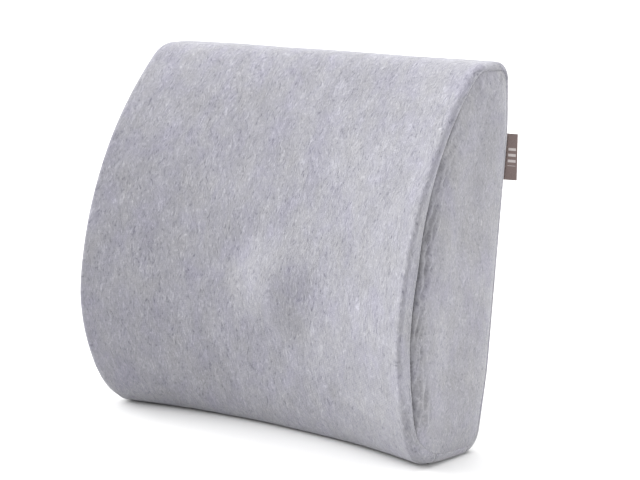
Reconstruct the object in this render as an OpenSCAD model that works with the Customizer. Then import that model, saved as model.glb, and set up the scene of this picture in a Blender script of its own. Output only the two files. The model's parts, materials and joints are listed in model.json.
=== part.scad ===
// Lumbar support cushion: moulded foam block in a knitted zip-off cover.
// X runs across the cushion, -Y is the side that meets the sitter's back,
// +Z is up. The cushion stands on its flat base and leans back slightly.
// The origin is on the floor, on the flat of the base.

/* [Overall] */
// Width across the two side panels
width = 350; // [300:5:400]
// Height of the cushion
height = 320; // [290:5:350]
// Lean of the flat back, as run over rise
lean = 0.124; // [0.08:0.004:0.16]

/* [Side profile] */
// Depth of the flat foot, from the upright through the back's heel
foot_depth = 62; // [56:1:68]
// How far forward of the heel the crown of the front stands
crown_out = 115; // [104:1:122]
// Height of the crown above the floor
crown_up = 104; // [96:1:116]
// Where the rounded top front edge meets the flat top, measured behind the heel
top_apex = 4; // [0:1:10]
// Radius where the top turns into the back
top_r = 14; // [10:1:18]
// Radius where the back turns under to the base
heel_r = 20; // [14:1:24]
// Share of the depth that the waist hollow takes out at mid width
hollow = 0.32; // [0.24:0.01:0.38]

/* [Lumbar bump] */
// How far the lumbar bump stands out of the hollow
bump_h = 11; // [4:0.5:13]
// Radius of the lumbar bump
bump_r = 54; // [42:1:62]
// Height of the bump's centre above the floor
bump_z = 130; // [120:1:145]
// How far the bump's centre sits towards the label's side
bump_x = 13; // [0:1:20]

/* [Cover] */
// Thickness of the knitted cover
cover_t = 1.6; // [1.4:0.1:2.2]
// Thickness of the inner sleeve
liner_t = 0.8; // [0.6:0.1:1.2]
// Width of the sewn seam strips
seam_w = 1.6; // [1.2:0.1:2.4]

/* [Zip] */
// Height of the zip on the back, measured up the slope
zip_up = 66; // [56:1:90]
// Length of the zip
zip_len = 290; // [240:5:300]
// Width of one zip tape
tape_w = 12; // [10:0.5:14]
// Thickness of a zip tape
tape_t = 0.7; // [0.5:0.1:0.8]
// Half of the gap between the two cover edges along the zip
zip_gap = 5; // [4.6:0.1:6]
// Spacing of the teeth
tooth_pitch = 5; // [4:0.5:8]
// Length of the pull tab
pull_len = 24; // [18:1:30]

/* [Label] */
// Height of the woven side label
label_h = 38; // [28:1:42]
// How far the label stands out of the seam
label_out = 10; // [8:1:14]
// Distance of the label's foot up the back
label_up = 225; // [200:1:240]

/* [Hidden] */
grey = [0.70, 0.70, 0.72];
y0 = 30;                      // heel upright to origin
sl = atan(lean);              // lean of the back in degrees
cs = cos(sl);
hw = width / 2;

// ---- side profile: points, inward normals and hollow weights --------------
function lerp(a, b, t) = a + (b - a) * t;
function bz(p, t) = let (s = 1 - t)
    s*s*s*p[0] + 3*s*s*t*p[1] + 3*s*t*t*p[2] + t*t*t*p[3];
function bd(p, t) = let (s = 1 - t)
    3*s*s*(p[1]-p[0]) + 6*s*t*(p[2]-p[1]) + 3*t*t*(p[3]-p[2]);
function unit(v) = v / norm(v);
// inward normal of a curve that runs from the foot up the front
function inw(d) = let (u = unit(d)) [u[1], -u[0]];

foot = [-foot_depth, 0];
crown = [-crown_out, crown_up];
apex = [top_apex, height];
bz_low = [foot, foot + [-42, 0], crown - [0, 16], crown];
brow = apex - [24, 12];                    // where the long front curve turns in
bz_up = [crown, crown + [0, 18], brow - [87, 85], brow];
bz_edge = [brow, brow + [8, 8], apex - [8, 0], apex];
heel_y = lean * heel_r - heel_r / cs;      // centre of the heel arc
top_y = lean * (height - top_r) - top_r / cs;

n_low = 11;
n_up = 15;
n_edge = 4;
n_top = 5;
n_heel = 5;

function dep(p) = lean * p[1] - p[0];
function wgt(p) = hollow * dep(p);
heel_flat = [heel_y, 0];

// each entry is [y, z, normal y, normal z, hollow weight]
low_pts = [for (i = [0:n_low]) let (t = i / n_low, p = bz(bz_low, t),
    n = i == 0 ? [0, 1] : inw(bd(bz_low, t))) [p[0], p[1], n[0], n[1], wgt(p)]];
up_pts = [for (i = [1:n_up]) let (t = i / n_up, p = bz(bz_up, t),
    n = inw(bd(bz_up, t))) [p[0], p[1], n[0], n[1], wgt(p)]];
edge_pts = [for (i = [1:n_edge]) let (t = i / n_edge, p = bz(bz_edge, t),
    n = i == n_edge ? [0, -1] : inw(bd(bz_edge, t))) [p[0], p[1], n[0], n[1], wgt(p)]];
top_pts = [for (i = [0:n_top]) let (a = lerp(90, -sl, i / n_top),
    p = [top_y + top_r*cos(a), height - top_r + top_r*sin(a)],
    w = wgt(p) * (1 - i / n_top)) [p[0], p[1], -cos(a), -sin(a), w]];
heel_pts = [for (i = [0:n_heel]) let (a = lerp(-sl, -90, i / n_heel),
    p = [heel_y + heel_r*cos(a), heel_r + heel_r*sin(a)])
    [p[0], p[1], -cos(a), -sin(a), 0]];
// a point up the slope of the back
function backp(u) = [u*sin(sl), u*cs, -cs, sin(sl), 0];

zip_hi = zip_up + zip_gap;
zip_lo = zip_up - zip_gap;

function bump(x, z) = let (r = norm([x - bump_x, z - bump_z]) / bump_r)
    r < 1 ? bump_h * pow(cos(90 * r), 2) : 0;

// a profile entry placed at x and moved inwards by o
function place(e, x, o) = let (k = 1 - pow(x / hw, 2),
    f = e[0] < lean*e[1] - 30 ? 1 : 0)
    [x, y0 + e[0] + o*e[2] + e[4]*max(k, 0) - f*bump(x, e[1]),
     e[1] + o*e[3]];

function xs_between(a, b, n) = [for (i = [0:n]) lerp(a, b, i / n)];

// ---- solids ---------------------------------------------------------------
// closed block bounded by a whole profile, at offset o
module block(prof, o, xs) {
    n = len(prof);
    m = len(xs);
    pts = [for (x = xs) for (e = prof) place(e, x, o)];
    sides = [for (j = [0:m-2]) for (i = [0:n-1]) let (i2 = (i+1) % n,
        a = j*n+i, b = j*n+i2, c = (j+1)*n+i2, d = (j+1)*n+i)
        each [[a, b, c], [a, c, d]]];
    cap0 = [for (i = [n-1:-1:0]) i];
    cap1 = [for (i = [0:n-1]) (m-1)*n + i];
    polyhedron(pts, concat(sides, [cap0, cap1]), convexity = 4);
}

// closed strip of cover between offsets oa (outer) and ob (inner)
module skin(prof, oa, ob, xs) {
    n = len(prof);
    m = len(xs);
    N = n*m;
    po = [for (x = xs) for (e = prof) place(e, x, oa)];
    pi = [for (x = xs) for (e = prof) place(e, x, ob)];
    outer = [for (j = [0:m-2]) for (i = [0:n-2]) let (
        a = j*n+i, b = j*n+i+1, c = (j+1)*n+i+1, d = (j+1)*n+i)
        each [[a, b, c], [a, c, d]]];
    inner = [for (j = [0:m-2]) for (i = [0:n-2]) let (
        a = N+j*n+i, b = N+j*n+i+1, c = N+(j+1)*n+i+1, d = N+(j+1)*n+i)
        each [[a, c, b], [a, d, c]]];
    e0 = [for (i = [0:n-2]) each [[i, N+i, N+i+1], [i, N+i+1, i+1]]];
    q = (m-1)*n;
    e1 = [for (i = [0:n-2]) each [[q+i, N+q+i+1, N+q+i], [q+i, q+i+1, N+q+i+1]]];
    s0 = [for (j = [0:m-2]) each [[j*n, (j+1)*n, N+(j+1)*n], [j*n, N+(j+1)*n, N+j*n]]];
    s1 = [for (j = [0:m-2]) each [[j*n+n-1, N+(j+1)*n+n-1, (j+1)*n+n-1],
                                  [j*n+n-1, N+j*n+n-1, N+(j+1)*n+n-1]]];
    polyhedron(concat(po, pi), concat(outer, inner, e0, e1, s0, s1), convexity = 6);
}

n_x = 20;
x_in = hw - cover_t - seam_w;          // where the side seams start
xs_mid = xs_between(-x_in, x_in, n_x);
// the same stations for what lies under the cover, with ends of its own
function xs_in(o) = concat([-hw + o], xs_mid, [hw - o]);
whole = concat(low_pts, up_pts, edge_pts, top_pts, heel_pts);
front_prof = concat(low_pts, up_pts, edge_pts, [for (i = [0:n_top-1]) top_pts[i]]);

// the back's own frame: X across, Y out of the back, Z up the slope
module on_back(u = 0) translate([0, y0 + u*sin(sl), u*cs]) rotate([-sl, 0, 0]) children();

slot_len = zip_len + 24;
module zip_channel(g) on_back(zip_up)
    translate([-slot_len/2 - g, -cover_t - 1.9 - g, -6 - g])
        cube([slot_len + 2*g, 10, 12 + 2*g]);

module foam_core() color([0.93, 0.91, 0.84])
    difference() {
        block(whole, cover_t + liner_t, xs_in(cover_t + liner_t));
        zip_channel(liner_t);
    }

module inner_liner() color([0.95, 0.95, 0.95])
    difference() {
        block(whole, cover_t, xs_in(cover_t));
        zip_channel(0);
        difference() {
            block(whole, cover_t + liner_t, xs_in(cover_t + liner_t));
            zip_channel(liner_t);
        }
    }

module front_panel() color(grey) skin(front_prof, 0, cover_t, xs_mid);

function foot_y(x) = y0 - foot_depth*(1 - hollow*(1 - pow(x/hw, 2)));
module base_panel() color([0.66, 0.66, 0.68])
    linear_extrude(cover_t) polygon(concat(
        [for (x = xs_mid) [x, foot_y(x) + seam_w]],
        [[x_in, y0 + heel_y], [-x_in, y0 + heel_y]]));

module base_front_seam() color([0.55, 0.55, 0.58])
    linear_extrude(cover_t) polygon(concat(
        [for (x = xs_mid) [x, foot_y(x)]],
        [for (i = [n_x:-1:0]) [xs_mid[i], foot_y(xs_mid[i]) + seam_w]]));

back_top = norm([top_pts[n_top][0], top_pts[n_top][1]]);
back_bot = norm([heel_pts[0][0], heel_pts[0][1]]);

module back_panel_upper() color([0.68, 0.68, 0.70])
    difference() {
        on_back() translate([-x_in, -cover_t, zip_hi]) cube([2*x_in, cover_t, back_top - zip_hi]);
        tape_rebate(1);
    }

// the lower panel runs down the slope and round the heel to the base
module back_panel_lower() color([0.68, 0.68, 0.70])
    difference() {
        rotate([0, 90, 0]) translate([0, 0, -x_in]) linear_extrude(2*x_in)
            polygon(concat(
                [[-zip_lo*cs, y0 + zip_lo*sin(sl)]],
                [for (e = heel_pts) [-e[1], y0 + e[0]]],
                [for (i = [n_heel:-1:0]) let (e = heel_pts[i])
                    [-e[1] - cover_t*e[3], y0 + e[0] + cover_t*e[2]]],
                [[-zip_lo*cs - cover_t*sin(sl), y0 + zip_lo*sin(sl) - cover_t*cs]]));
        tape_rebate(-1);
    }

module tape_rebate(s) on_back(zip_up)
    translate([-zip_len/2, -cover_t - 1, s > 0 ? 0 : -tape_w - 0.8]) cube([zip_len, 1 + tape_t, tape_w + 0.8]);

module top_rear_seam() color([0.55, 0.55, 0.58])
    skin([top_pts[n_top-1], top_pts[n_top]], 0, cover_t, xs_mid);

module side_panel_right() color([0.68, 0.68, 0.70])
    block(whole, 0, [hw - cover_t, hw]);
module side_panel_left() color([0.68, 0.68, 0.70])
    block(whole, 0, [-hw, -hw + cover_t]);

module seam_ring(a, b) difference() {
    block(whole, 0, [a, b]);
    block(whole, cover_t, [a - 1, a, b, b + 1]);
}
module side_seam_right() color([0.52, 0.52, 0.55]) seam_ring(x_in, hw - cover_t);
module side_seam_left() color([0.52, 0.52, 0.55]) seam_ring(-hw + cover_t, -x_in);

// ---- zip ------------------------------------------------------------------
row_in = 0.7;                  // clear of the slider's post
row_out = 2.6;
row_y0 = -cover_t + tape_t;    // the teeth stand on the tape
row_y1 = 0.9;

module tape(s) on_back(zip_up) translate([-zip_len/2, -cover_t, s > 0 ? row_in : -tape_w])
    cube([zip_len, tape_t, tape_w - row_in]);
module zip_tape_upper() color([0.45, 0.45, 0.48]) tape(1);
module zip_tape_lower() color([0.45, 0.45, 0.48]) tape(-1);

n_teeth = floor((zip_len - 16) / tooth_pitch);
module teeth(s) on_back(zip_up) rotate([90, 0, 0]) translate([0, 0, -row_y1])
    linear_extrude(row_y1 - row_y0) polygon(concat(
        [[-n_teeth*tooth_pitch/2, s*row_out]],
        [for (i = [0:n_teeth-1]) let (x = (i - n_teeth/2)*tooth_pitch)
            each [[x, s*1.6], [x + 0.3*tooth_pitch, s*1.6], [x + 0.3*tooth_pitch, s*row_in],
                  [x + 0.7*tooth_pitch, s*row_in], [x + 0.7*tooth_pitch, s*1.6]]],
        [[n_teeth*tooth_pitch/2, s*1.6], [n_teeth*tooth_pitch/2, s*row_out]]));
module zip_teeth_upper() color([0.35, 0.35, 0.38]) teeth(1);
module zip_teeth_lower() color([0.35, 0.35, 0.38]) teeth(-1);

row_end = n_teeth*tooth_pitch/2;
module zip_top_stops() color([0.62, 0.62, 0.64]) on_back(zip_up)
    for (s = [-1, 1]) translate([-row_end - 3.2, row_y0, s > 0 ? row_in : -row_out])
        cube([3.2, row_y1 - row_y0, row_out - row_in]);
module zip_bottom_stop() color([0.62, 0.62, 0.64]) on_back(zip_up)
    translate([row_end, row_y0, -row_out]) cube([3.2, row_y1 - row_y0, 2*row_out]);

// slider: two plates joined by a post, side flanges over the teeth
sl_len = 11;
sl_x = -row_end + 3;                  // closed end of the zip
post_x = sl_x + 2.5;
lug_x = sl_x + sl_len/2;
lug_y = 4.2;
pin_r = 0.7;
module zip_slider() color([0.62, 0.62, 0.64]) on_back(zip_up) {
    difference() {
        translate([sl_x, 0, 0]) union() {
            translate([0, row_y1 + 0.3, -4.4]) cube([sl_len, 1.1, 8.8]);
            translate([0, -cover_t - 1.5, -4.4]) cube([sl_len, 1.1, 8.8]);
            for (s = [-1, 1]) translate([0, row_y0 + 0.3, s > 0 ? 2.9 : -4.4])
                cube([sl_len, row_y1 - row_y0 + 0.2, 1.5]);
            translate([1, -cover_t - 0.6, -0.35]) cube([3, row_y1 + cover_t + 1.2, 0.7]);
        }
        // rounded nose corners
        for (s = [-1, 1]) translate([sl_x, 0, s*4.4]) rotate([90, 0, 0])
            rotate([0, 0, 45]) cube([2.4, 2.4, 20], center = true);
    }
    // bridge that holds the pull
    for (s = [-1, 1]) translate([lug_x - 1.4, row_y1 + 1.2, s > 0 ? 1.5 : -2.5])
        cube([2.8, lug_y - row_y1 - 0.4, 1.0]);
    translate([lug_x, lug_y, -1.6]) cylinder(r = pin_r, h = 3.2, $fn = 32);
}

module zip_pull() color([0.58, 0.58, 0.60]) on_back(zip_up) difference() {
    union() {
        translate([lug_x, lug_y, -1.2]) cylinder(r = 1.5, h = 2.4, $fn = 32);
        translate([lug_x + 0.6, lug_y - 0.6, -1.2]) cube([4.4, 1.2, 2.4]);
        translate([lug_x + 4, lug_y - 0.6, -3]) cube([pull_len - 7, 1.2, 6]);
        translate([lug_x + pull_len - 3, lug_y + 0.6, 0]) rotate([90, 0, 0])
            cylinder(r = 3, h = 1.2, $fn = 32);
    }
    translate([lug_x, lug_y, -3]) cylinder(r = pin_r + 0.06, h = 6, $fn = 32);
    translate([lug_x + pull_len - 5, lug_y + 2, 0]) rotate([90, 0, 0])
        cylinder(r = 1.1, h = 4, $fn = 32);
}

// ---- label ----------------------------------------------------------------
module label() color([0.47, 0.42, 0.41]) on_back(label_up)
    translate([hw - 1.2, 0, 0]) linear_extrude(label_h)
        polygon([[0, 0], [1.2, 0], [label_out*0.77 + 1.2, label_out*0.64],
                 [label_out*0.77 + 0.7, label_out*0.64 + 0.6], [0.5, 0.9], [0, 0.9]]);
module label_stitching() color([0.30, 0.28, 0.28]) on_back(label_up)
    for (i = [0:5]) translate([hw - 1.5, 0, 3 + i*(label_h - 8)/5]) cube([0.3, 0.5, 2]);

foam_core();
inner_liner();
front_panel();
base_panel();
back_panel_upper();
back_panel_lower();
side_panel_right();
side_panel_left();
side_seam_right();
side_seam_left();
top_rear_seam();
base_front_seam();
zip_tape_upper();
zip_tape_lower();
zip_teeth_upper();
zip_teeth_lower();
zip_slider();
zip_pull();
zip_top_stops();
zip_bottom_stop();
label();
label_stitching();
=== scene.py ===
import json
import math

import bmesh
import bpy
import numpy as np
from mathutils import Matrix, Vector, noise
from mathutils.geometry import delaunay_2d_cdt

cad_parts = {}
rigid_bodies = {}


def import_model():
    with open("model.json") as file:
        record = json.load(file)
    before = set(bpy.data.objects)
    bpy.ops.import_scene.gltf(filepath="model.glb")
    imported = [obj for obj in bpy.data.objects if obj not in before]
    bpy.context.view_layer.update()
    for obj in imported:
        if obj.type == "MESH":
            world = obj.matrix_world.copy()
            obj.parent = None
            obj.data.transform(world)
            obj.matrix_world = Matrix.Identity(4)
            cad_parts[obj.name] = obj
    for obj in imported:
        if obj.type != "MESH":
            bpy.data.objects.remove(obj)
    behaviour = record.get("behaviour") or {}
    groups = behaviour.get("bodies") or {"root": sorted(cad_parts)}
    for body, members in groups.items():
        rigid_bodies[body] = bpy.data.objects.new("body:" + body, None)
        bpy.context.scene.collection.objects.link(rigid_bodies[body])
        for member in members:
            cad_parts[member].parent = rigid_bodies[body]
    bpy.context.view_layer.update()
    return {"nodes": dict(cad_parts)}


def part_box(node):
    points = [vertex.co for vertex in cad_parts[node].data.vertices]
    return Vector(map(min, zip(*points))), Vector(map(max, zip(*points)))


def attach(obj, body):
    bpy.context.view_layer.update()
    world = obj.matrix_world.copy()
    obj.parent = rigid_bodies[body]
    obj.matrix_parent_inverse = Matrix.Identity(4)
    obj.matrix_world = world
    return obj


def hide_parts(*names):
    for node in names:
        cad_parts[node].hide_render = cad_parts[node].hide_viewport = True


for _o in list(bpy.data.objects):      # an empty scene, whatever it was started with
    bpy.data.objects.remove(_o, do_unlink=True)
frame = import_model()
NODES = frame["nodes"]
MM = 0.001

# ---------------------------------------------------------------------------
# The cushion's own dimensions (the same as the CAD's), in millimetres
# ---------------------------------------------------------------------------
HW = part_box("side_panel_right")[1].x * 1000.0
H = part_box("side_panel_right")[1].z * 1000.0
LEAN = 0.124
FOOT, CROWN_OUT, CROWN_UP, APEX = 62.0, 115.0, 104.0, 4.0
TOP_R, HEEL_R, HOLLOW = 14.0, 20.0, 0.32
BUMP_H, BUMP_R, BUMP_Z, BUMP_X = 11.0, 54.0, 130.0, 13.0
Y0 = 30.0
ZIP_UP, ZIP_GAP, ZIP_LEN = 66.0, 5.0, 290.0
SL = math.atan(LEAN)
CS, SN = math.cos(SL), math.sin(SL)


def bez(p, t):
    t = np.asarray(t, float)[:, None]
    s = 1 - t
    p = [np.array(q, float) for q in p]
    return s**3 * p[0] + 3 * s * s * t * p[1] + 3 * s * t * t * p[2] + t**3 * p[3]


def arc(c, r, a0, a1, n):
    a = np.radians(np.linspace(a0, a1, n))
    return np.stack([c[0] + r * np.cos(a), c[1] + r * np.sin(a)], 1)


heel_y = LEAN * HEEL_R - HEEL_R / CS
top_y = LEAN * (H - TOP_R) - TOP_R / CS
D = math.degrees(SL)
low = bez([(-FOOT, 0), (-FOOT - 42, 0), (-CROWN_OUT, CROWN_UP - 16), (-CROWN_OUT, CROWN_UP)], np.linspace(0, 1, 400))
BROW = (APEX - 24, H - 12)
up = bez([(-CROWN_OUT, CROWN_UP), (-CROWN_OUT, CROWN_UP + 18), (BROW[0] - 87, BROW[1] - 85), BROW], np.linspace(0, 1, 600))
brow = bez([BROW, (BROW[0] + 8, BROW[1] + 8), (APEX - 8, H), (APEX, H)], np.linspace(0, 1, 120))
top = arc((top_y, H - TOP_R), TOP_R, 90, -D, 80)
heel = arc((heel_y, HEEL_R), HEEL_R, -D, -90, 80)


def line(a, b, n):
    return np.array(a) + (np.array(b) - np.array(a)) * np.linspace(0, 1, n)[:, None]


def resample(c, n):
    """n+1 points evenly spaced along c."""
    s = np.concatenate([[0], np.cumsum(np.hypot(*np.diff(c, axis=0).T))])
    t = np.linspace(0, s[-1], n + 1)
    return np.stack([np.interp(t, s, c[:, 0]), np.interp(t, s, c[:, 1])], 1)


def back_at(u):
    return np.array([u * SN, u * CS])


front = np.vstack([low, up[1:], brow[1:]])
top_end = top[-1]
back_top_u = float(np.hypot(*top_end))
back_bot_u = float(np.hypot(*heel[0]))
# segments run from the foot up the front, over the top, down the back, round the heel and along the base
SEGS = [("front", resample(front, 170)),
        ("front", resample(np.vstack([front[-1:], top]), 18)),
        ("back_upper", resample(line(top_end, back_at(ZIP_UP + ZIP_GAP), 50), 96)),
        ("zip_upper", resample(line(back_at(ZIP_UP + ZIP_GAP), back_at(ZIP_UP), 5), 3)),
        ("zip_lower", resample(line(back_at(ZIP_UP), back_at(ZIP_UP - ZIP_GAP), 5), 3)),
        ("back_lower", resample(line(back_at(ZIP_UP - ZIP_GAP), heel[0], 20), 17)),
        ("back_lower", resample(heel, 12)),
        ("base", resample(line(heel[-1], (-FOOT, 0), 20), 18))]
P, REG = [], []
for name, c in SEGS:
    for k in range(len(c) - 1):
        P.append(c[k])
        REG.append(name)
P = np.array(P)
N = len(P)
tan = np.roll(P, -1, 0) - np.roll(P, 1, 0)
tan /= np.linalg.norm(tan, axis=1)[:, None]
# the loop runs up the front: outward is to the left of travel
OUT = np.stack([-tan[:, 1], tan[:, 0]], 1)
step = np.linalg.norm(np.roll(P, -1, 0) - P, axis=1)
S = np.concatenate([[0], np.cumsum(step)[:-1]])          # arc length along the profile
dep = LEAN * P[:, 1] - P[:, 0]
WG = HOLLOW * dep                                        # depth of the waist hollow at mid width
i_top0, i_top1 = 170, 188
for k in range(i_top0, i_top1 + 1):
    WG[k] *= 1 - (k - i_top0) / (i_top1 - i_top0)
WG[i_top1:] = 0
for k in range(N):
    if REG[k] == "base":
        WG[k] = HOLLOW * FOOT * np.clip((heel_y - P[k, 0]) / (heel_y + FOOT), 0, 1)
is_front = np.array([r == "front" for r in REG])
is_flat = np.array([r == "base" for r in REG])
S_ALL = float(S[-1] + step[-1])

# how far behind the edge the side seam runs, along the front of the profile
zs = [0, 6, 20, 40, 60, 100, 160, 200, 240, 270, 300, 318, 320]
ws = [5.0, 5.6, 9.0, 14.0, 18.0, 21.0, 21.0, 17.0, 11.5, 8.6, 6.8, 6.2, 6.0]
EDGE_R = np.full(N, 2.2)
SEAM_B = np.full(N, 3.6)
LIP = np.zeros(N)                                        # how far the front's edge stands out sideways
LIPB = np.zeros(N)                                       # and the back's, which the side panel follows
for k in range(N):
    if is_front[k] and k <= i_top0:
        SEAM_B[k] = np.interp(P[k, 1], zs, ws)
        EDGE_R[k] = np.interp(P[k, 1], [0, 30, 70, 240, 300, 320], [9.0, 5.4, 3.0, 3.0, 3.6, 4.0])
        LIP[k] = np.interp(P[k, 1], [0, 30, 90, 180, 250, 300], [0, 0.5, 1.5, 1.3, 0.8, 0.0])
    if REG[k] in ("back_lower", "base"):
        EDGE_R[k] = np.interp(P[k, 1], [0, 30, 60], [6.0, 4.0, 2.2])
    tp = max(0.0, 1 - abs(k - (i_top1 - 5)) / 22.0)       # the soft end of the top rear corner
    EDGE_R[k] = max(EDGE_R[k], 2.2 + 3.4 * math.sin(tp * math.pi / 2))
    SEAM_B[k] = max(SEAM_B[k], 3.6 + 2.8 * math.sin(tp * math.pi / 2))
    if not is_front[k] and REG[k] != "base":
        LIPB[k] = np.interp(P[k, 1], [0, 30, 70, 270, 312], [0, 1.0, 2.6, 2.6, 0.3])
ker = np.ones(9) / 9
SEAM_B = np.convolve(np.concatenate([SEAM_B[-8:], SEAM_B, SEAM_B[:8]]), ker, "same")[8:-8]
EDGE_R = np.convolve(np.concatenate([EDGE_R[-8:], EDGE_R, EDGE_R[:8]]), ker, "same")[8:-8]
LIP = np.convolve(np.concatenate([LIP[-8:], LIP, LIP[:8]]), ker, "same")[8:-8]
LIPB = np.convolve(np.concatenate([LIPB[-8:], LIPB, LIPB[:8]]), ker, "same")[8:-8]
FRONT_W = np.clip(np.where(is_front, (SEAM_B - 4) / 8, 0), 0, 1) * np.clip((P[:, 1] - 16) / 26, 0, 1)
FRONT_W = np.convolve(np.concatenate([FRONT_W[-8:], FRONT_W, FRONT_W[:8]]), ker, "same")[8:-8]


def bump(x, z):
    r = np.hypot(x - BUMP_X, z - BUMP_Z) / BUMP_R
    return np.where(r < 1, BUMP_H * np.cos(np.pi / 2 * np.clip(r, 0, 1)) ** 2, 0)


def nz(x, y, z=0.0):
    return noise.noise(Vector((x, y, z)))


# ---------------------------------------------------------------------------
# Master surface. Columns: left side centre ... left edge, front/back sheet, right edge ... right side centre
# ---------------------------------------------------------------------------
NJ = 196          # columns across the sheet
NF = 7            # rows round each edge
NB = 8            # rings from the edge to the seam
NS = 22           # rings from the seam into the side panel
m = 2 * WG / HW
al = np.arctan(m)
cd = EDGE_R * np.cos(al) + m * EDGE_R * (1 + np.sin(al))
xf = HW - EDGE_R - EDGE_R * np.sin(al)
SEAM_B = np.maximum(SEAM_B, cd + 1.2)

# spine of the side panels
spine_z = np.clip(P[:, 1], 66, 268)


def spine_y(z):
    fy = np.interp(z, front[:, 1], front[:, 0])
    return 0.5 * (fy + LEAN * z)


spine = np.stack([spine_y(spine_z), spine_z], 1)

half = []           # for the right half: list of (x, 2D point, knit u, knit v, tag) columns from the sheet's edge to the side's middle
cols = []           # each column: arrays x (N), q (N,2), ku, kv


def add(x, q, ku, kv):
    cols.append((np.asarray(x, float) * np.ones(N), q, np.asarray(ku, float) * np.ones(N), np.asarray(kv, float) * np.ones(N)))


def sheet_col(s):
    x = s * xf
    d = WG * (1 - (x / HW) ** 2)
    b = np.where(is_front, bump(x, P[:, 1]), 0)
    q = P.copy()
    q[:, 0] += d - b                      # the hollow goes back along Y
    # soft, slow unevenness of foam under cloth
    w = np.array([nz(xx * 0.013, ss * 0.013, 3.1) for xx, ss in zip(x, S)]) * 0.9
    w *= np.clip(1 - (np.abs(x) / xf) ** 6, 0, 1)
    w = np.where(np.array(REG) == "base", 0, w)
    # the cross seams at the top's rear edge and under the foot sink between the panels
    for i0 in (i_top1, 0):
        ds = np.abs(S - S[i0])
        ds = np.minimum(ds, S_ALL - ds)
        w -= np.where(is_flat, 0.0, 1.3) * np.exp(-(ds / 1.5) ** 2)
    q += OUT * w[:, None]
    return x + s * (LIP + LIPB) * abs(s) ** 14, q


SEAM_PAINTED_SHADE = {}        # painted shade: how much the cloth's base colour is darkened in the folds along the side seams, by column, standing in for the shade that falls there


def edge_cols(side):
    """Rounded edge, band to the seam, and side panel, from the sheet outwards."""
    out = []
    for k in range(1, NF + 1):
        ph = -al + (np.pi / 2 + al) * k / NF
        x = HW - EDGE_R + EDGE_R * np.sin(ph) + LIP + LIPB
        d = cd - EDGE_R * np.cos(ph)
        q = P - OUT * d[:, None]
        # the hollow moves points along Y, so near the edge the two directions are blended
        arc_len = xf + EDGE_R * (ph + al)
        out.append((side * x, q, side * arc_len, S, None))
    e_len = xf + EDGE_R * (np.pi / 2 + al)
    for k in range(1, NB + 1):
        b = cd + (SEAM_B - cd) * k / NB
        q = P - OUT * b[:, None]
        band = k / NB
        g = b - SEAM_B
        # painted shade on the band: darker toward the seam, with a dark line at the seam itself
        SEAM_PAINTED_SHADE[(side, k)] = 1 - 0.30 * PAINTED_SHADE_W * band ** 1.5 - 0.34 * (0.35 * FRONT_W + 0.65 * PAINTED_SHADE_W) * np.exp(-(g / 1.5) ** 2)
        g = b - SEAM_B
        a = -VALLEY * np.exp(-(g / VAL_W) ** 2) - FRONT_W * 0.9 * band ** 1.6 + LIP * (1 - band) ** 1.2 + LIPB
        wv = np.array([nz(ss * 0.03 + side * 5, gg * 0.1, 4.4) for ss, gg in zip(S, g)])
        a = a + FRONT_W * 0.8 * wv * band
        out.append((side * (HW + a), q, side * (e_len + b - cd), S, None))
    for k in range(1, NS + 1):
        t = 0.45 * (k / NS) ** 1.3
        q = Q0 + (spine - Q0) * t
        rel, painted_shd = side_relief(q, side)
        SEAM_PAINTED_SHADE[(side, NB + k)] = painted_shd
        out.append((side * (HW + rel), q, q[:, 0], q[:, 1], "side"))
    return out


# weight of the painted shade along the side seams, by height
PAINTED_SHADE_W = FRONT_W * np.interp(P[:, 1], [0, 30, 60, 130, 165, 200, 240, 300], [0.25, 0.4, 0.5, 0.62, 0.95, 0.8, 0.25, 0.15])
VALLEY = 0.18 + 1.9 * FRONT_W
VAL_W = 0.9 + 1.1 * FRONT_W
Q0 = P - OUT * SEAM_B[:, None]                            # the side seam, seen from the side


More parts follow.
